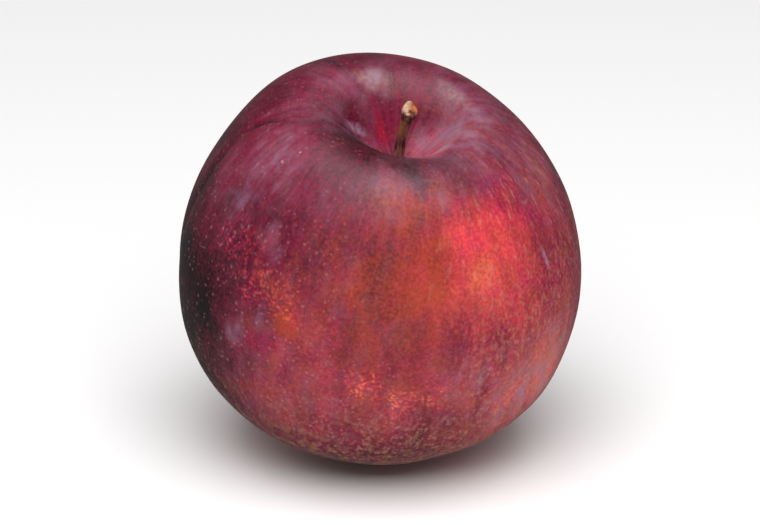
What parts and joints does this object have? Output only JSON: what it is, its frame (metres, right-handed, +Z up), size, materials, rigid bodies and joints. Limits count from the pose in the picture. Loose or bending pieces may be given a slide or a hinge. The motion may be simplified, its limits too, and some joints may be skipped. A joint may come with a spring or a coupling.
{
  "type": "plum",
  "caption": "Whole ripe plum, slightly taller than wide, with a deep stem cavity, a shallow crease down one side and a short woody stem; it rests on a small flat spot.",
  "frame": {"origin": "under the middle of the plum's bounding box, on the surface that it rests on", "axes": "+Z up from the surface; the stem cavity faces up, tipped towards -Y, the front; +X to the right seen from the front"},
  "size_m": [0.0624, 0.061, 0.0632],
  "materials": {
    "plum_skin": "waxy semi-gloss skin, dark purple-red to orange-red, with a thin pale bloom and fine pale dots",
    "stem_bark": "dry ridged bark, brown with a paler cut end"
  },
  "bodies": {
    "root": {"fruit": "plum_skin", "stem": "stem_bark"}
  },
  "joints": []
}
